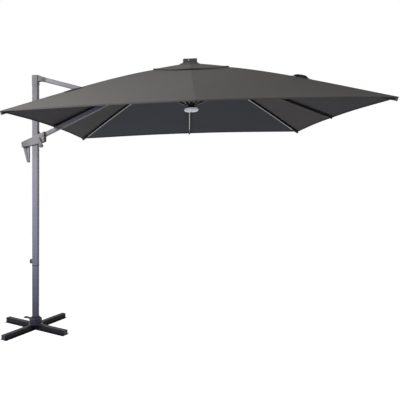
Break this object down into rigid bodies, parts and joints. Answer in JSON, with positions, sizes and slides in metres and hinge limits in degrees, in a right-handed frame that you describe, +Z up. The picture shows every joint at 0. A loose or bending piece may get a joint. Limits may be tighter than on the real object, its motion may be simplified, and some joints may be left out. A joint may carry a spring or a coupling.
{
  "type": "cantilever parasol",
  "caption": "Square cantilever parasol: canopy with lamp hung from a tilting boom beside a turning mast, on a crossed base for slabs.",
  "frame": {"origin": "on the ground, on the mast's axis", "axes": "+X from the mast to the canopy, +Y to the side away from the crank, +Z up"},
  "size_m": [3.5791, 3, 2.8802],
  "materials": {
    "base_steel": "satin powder coat, near black",
    "black_plastic": "matt moulded plastic",
    "bolt_steel": "plain steel",
    "mast_paint": "satin powder coat, mid grey",
    "boom_paint": "satin powder coat, mid grey",
    "cast_black": "satin paint on castings, near black",
    "rib_black": "matt powder coat, black",
    "canopy_fabric": "woven polyester, dark grey",
    "lamp_plastic": "matt moulded plastic",
    "diffuser": "milky translucent plastic",
    "solar_cells": "dark glossy cover over cells"
  },
  "bodies": {
    "base": {"cross_bar_lower": "base_steel", "cross_bar_upper": "base_steel", "leg_end_caps": "black_plastic", "base_plate": "base_steel", "base_bolts": "bolt_steel", "swivel_housing": "base_steel", "swivel_bush": "black_plastic"},
    "pedal": {"foot_pedal": "black_plastic"},
    "mast": {"mast_spindle": "base_steel", "lower_mast": "mast_paint", "joint_sleeve": "base_steel", "upper_mast": "mast_paint", "mast_head": "cast_black", "strut_pin": "bolt_steel", "slider_stop": "black_plastic"},
    "clamp": {"clamp_knob": "black_plastic"},
    "strut": {"strut_tube": "boom_paint", "strut_eye": "cast_black", "strut_fork": "cast_black"},
    "slider": {"slider_housing": "cast_black", "slider_liners": "black_plastic", "grip_bar": "cast_black"},
    "lever": {"release_lever": "cast_black"},
    "crank": {"crank_arm": "cast_black"},
    "knob": {"crank_knob": "black_plastic"},
    "boom": {"boom_tube": "boom_paint", "boom_root": "cast_black", "boom_end_fitting": "cast_black", "crown_hub": "cast_black", "crown_bolts": "bolt_steel", "solar_box": "lamp_plastic", "solar_panel": "solar_cells"},
    "runner": {"runner_hub": "lamp_plastic", "lamp_body": "lamp_plastic", "lamp_diffuser": "diffuser"},
    "button": {"lamp_button": "lamp_plastic"},
    "rib_outer": {"rib_outer": "rib_black", "canopy_panel_outer": "canopy_fabric"},
    "stretcher_outer": {"stretcher_outer": "rib_black"},
    "rib_outer_far": {"rib_outer_far": "rib_black", "canopy_panel_outer_far": "canopy_fabric"},
    "stretcher_outer_far": {"stretcher_outer_far": "rib_black"},
    "rib_far": {"rib_far": "rib_black", "canopy_panel_far": "canopy_fabric"},
    "stretcher_far": {"stretcher_far": "rib_black"},
    "rib_mast_far": {"rib_mast_far": "rib_black", "canopy_panel_mast_far": "canopy_fabric"},
    "stretcher_mast_far": {"stretcher_mast_far": "rib_black"},
    "rib_mast": {"rib_mast": "rib_black", "canopy_panel_mast": "canopy_fabric"},
    "stretcher_mast": {"stretcher_mast": "rib_black"},
    "rib_mast_near": {"rib_mast_near": "rib_black", "canopy_panel_mast_near": "canopy_fabric"},
    "stretcher_mast_near": {"stretcher_mast_near": "rib_black"},
    "rib_near": {"rib_near": "rib_black", "canopy_panel_near": "canopy_fabric"},
    "stretcher_near": {"stretcher_near": "rib_black"},
    "rib_outer_near": {"rib_outer_near": "rib_black", "canopy_panel_outer_near": "canopy_fabric"},
    "stretcher_outer_near": {"stretcher_outer_near": "rib_black"}
  },
  "joints": [
    {"name": "mast_swivel", "type": "hinge", "parent": "base", "child": "mast", "pos_m": [0, 0, 0.09], "axis": [0, 0, 1], "continuous": true},
    {"name": "pedal_press", "type": "hinge", "parent": "base", "child": "pedal", "pos_m": [-0.07417, 0.03944, 0.094], "axis": [-0.4695, -0.8829, 0], "range_deg": [0, 12], "stiffness_Nm_per_rad": 3, "springref_deg": -6.88},
    {"name": "clamp_turn", "type": "hinge", "parent": "mast", "child": "clamp", "pos_m": [-0.045, 0, 0.718], "axis": [-1, 0, 0], "continuous": true},
    {"name": "strut_swing", "type": "hinge", "parent": "mast", "child": "strut", "pos_m": [0.074, 0, 2.676], "axis": [0, 1, 0], "range_deg": [0, 24]},
    {"name": "boom_swing", "type": "hinge", "parent": "strut", "child": "boom", "pos_m": [0.87831, 0, 2.46499], "axis": [0, -1, 0], "range_deg": [0, 40.95]},
    {"name": "slider_run", "type": "slide", "parent": "mast", "child": "slider", "axis": [0, 0, -1], "range_m": [0, 0.5335]},
    {"name": "lever_squeeze", "type": "hinge", "parent": "slider", "child": "lever", "pos_m": [-0.078, 0, 1.791], "axis": [0, 1, 0], "range_deg": [0, 10], "stiffness_Nm_per_rad": 1.2, "springref_deg": -5.73},
    {"name": "crank_turn", "type": "hinge", "parent": "slider", "child": "crank", "pos_m": [0.046, -0.05, 2.037], "axis": [0, 1, 0], "range_deg": [0, 1801]},
    {"name": "knob_spin", "type": "hinge", "parent": "crank", "child": "knob", "pos_m": [0.08633, -0.085, 1.95431], "axis": [0, 1, 0], "continuous": true},
    {"name": "fold_outer", "type": "hinge", "parent": "boom", "child": "rib_outer", "pos_m": [1.70798, 0.04, 2.79147], "axis": [0, 1, 0], "range_deg": [0, 63.06], "deforming": ["canopy_panel_outer"]},
    {"name": "fold_outer_far", "type": "hinge", "parent": "boom", "child": "rib_outer_far", "pos_m": [1.69392, 0.07394, 2.79104], "axis": [-0.7068, 0.7071, -0.0216], "range_deg": [0, 68.48], "deforming": ["canopy_panel_outer_far"]},
    {"name": "fold_far", "type": "hinge", "parent": "boom", "child": "rib_far", "pos_m": [1.66, 0.088, 2.79], "axis": [-0.9995, 0, -0.0305], "range_deg": [0, 63.11], "deforming": ["canopy_panel_far"]},
    {"name": "fold_mast_far", "type": "hinge", "parent": "boom", "child": "rib_mast_far", "pos_m": [1.62607, 0.07394, 2.78896], "axis": [-0.7068, -0.7071, -0.0216], "range_deg": [0, 68.48], "deforming": ["canopy_panel_mast_far"]},
    {"name": "fold_mast", "type": "hinge", "parent": "boom", "child": "rib_mast", "pos_m": [1.61202, 0.04, 2.78853], "axis": [0, -1, 0], "range_deg": [0, 63.11], "deforming": ["canopy_panel_mast"]},
    {"name": "fold_mast_near", "type": "hinge", "parent": "boom", "child": "rib_mast_near", "pos_m": [1.62607, 0.00606, 2.78896], "axis": [0.7068, -0.7071, 0.0216], "range_deg": [0, 68.48], "deforming": ["canopy_panel_mast_near"]},
    {"name": "fold_near", "type": "hinge", "parent": "boom", "child": "rib_near", "pos_m": [1.66, -0.008, 2.79], "axis": [0.9995, 0, 0.0305], "range_deg": [0, 63.11], "deforming": ["canopy_panel_near"]},
    {"name": "fold_outer_near", "type": "hinge", "parent": "boom", "child": "rib_outer_near", "pos_m": [1.69392, 0.00606, 2.79104], "axis": [0.7068, 0.7071, 0.0216], "range_deg": [0, 68.48], "deforming": ["canopy_panel_outer_near"]},
    {"name": "stretcher_swing_outer", "type": "hinge", "parent": "rib_outer", "child": "stretcher_outer", "pos_m": [2.20071, 0.04, 2.61023], "axis": [0, -1, 0], "range_deg": [0, 126.16]},
    {"name": "stretcher_swing_outer_far", "type": "hinge", "parent": "rib_outer_far", "child": "stretcher_outer_far", "pos_m": [2.0407, 0.41647, 2.65741], "axis": [0.7068, -0.7071, 0.0216], "range_deg": [0, 126.7]},
    {"name": "stretcher_swing_far", "type": "hinge", "parent": "rib_far", "child": "stretcher_far", "pos_m": [1.66599, 0.57496, 2.5939], "axis": [0.9995, 0, 0.0305], "range_deg": [0, 126.16]},
    {"name": "stretcher_swing_mast_far", "type": "hinge", "parent": "rib_mast_far", "child": "stretcher_mast_far", "pos_m": [1.28811, 0.41647, 2.63442], "axis": [0.7068, 0.7071, 0.0216], "range_deg": [0, 126.7]},
    {"name": "stretcher_swing_mast", "type": "hinge", "parent": "rib_mast", "child": "stretcher_mast", "pos_m": [1.13128, 0.04, 2.57756], "axis": [0, 1, 0], "range_deg": [0, 126.16]},
    {"name": "stretcher_swing_mast_near", "type": "hinge", "parent": "rib_mast_near", "child": "stretcher_mast_near", "pos_m": [1.28811, -0.33647, 2.63442], "axis": [-0.7068, 0.7071, -0.0216], "range_deg": [0, 126.7]},
    {"name": "stretcher_swing_near", "type": "hinge", "parent": "rib_near", "child": "stretcher_near", "pos_m": [1.66599, -0.49496, 2.5939], "axis": [-0.9995, 0, -0.0305], "range_deg": [0, 126.16]},
    {"name": "stretcher_swing_outer_near", "type": "hinge", "parent": "rib_outer_near", "child": "stretcher_outer_near", "pos_m": [2.0407, -0.33647, 2.65741], "axis": [-0.7068, -0.7071, -0.0216], "range_deg": [0, 126.7]},
    {"name": "runner_turn", "type": "hinge", "parent": "stretcher_outer", "child": "runner", "pos_m": [1.71996, 0.04, 2.39926], "axis": [0, 1, 0], "range_deg": [0, 63.11]},
    {"name": "button_press", "type": "slide", "parent": "runner", "child": "button", "axis": [-0.0305, 0, 0.9995], "range_m": [0, 0.0025], "stiffness_N_per_m": 400, "springref_m": -0.002}
  ],
  "couplings": [
    {"joint": "boom_swing", "follows": "strut_swing", "ratio": 1.702},
    {"joint": "slider_run", "follows": "strut_swing", "m_per_rad": 1.2724},
    {"joint": "fold_outer_far", "follows": "fold_outer", "ratio": 1.0852},
    {"joint": "fold_far", "follows": "fold_outer", "ratio": 1},
    {"joint": "fold_mast_far", "follows": "fold_outer", "ratio": 1.0852},
    {"joint": "fold_mast", "follows": "fold_outer", "ratio": 1},
    {"joint": "fold_mast_near", "follows": "fold_outer", "ratio": 1.0852},
    {"joint": "fold_near", "follows": "fold_outer", "ratio": 1},
    {"joint": "fold_outer_near", "follows": "fold_outer", "ratio": 1.0852},
    {"joint": "stretcher_swing_outer", "follows": "fold_outer", "ratio": 2},
    {"joint": "stretcher_swing_outer_far", "follows": "fold_outer", "ratio": 2.0086},
    {"joint": "stretcher_swing_far", "follows": "fold_outer", "ratio": 2},
    {"joint": "stretcher_swing_mast_far", "follows": "fold_outer", "ratio": 2.0086},
    {"joint": "stretcher_swing_mast", "follows": "fold_outer", "ratio": 2},
    {"joint": "stretcher_swing_mast_near", "follows": "fold_outer", "ratio": 2.0086},
    {"joint": "stretcher_swing_near", "follows": "fold_outer", "ratio": 2},
    {"joint": "stretcher_swing_outer_near", "follows": "fold_outer", "ratio": 2.0086},
    {"joint": "runner_turn", "follows": "fold_outer", "ratio": 1},
    {"joint": "crank_turn", "follows": "fold_outer", "ratio": 28.546}
  ]
}
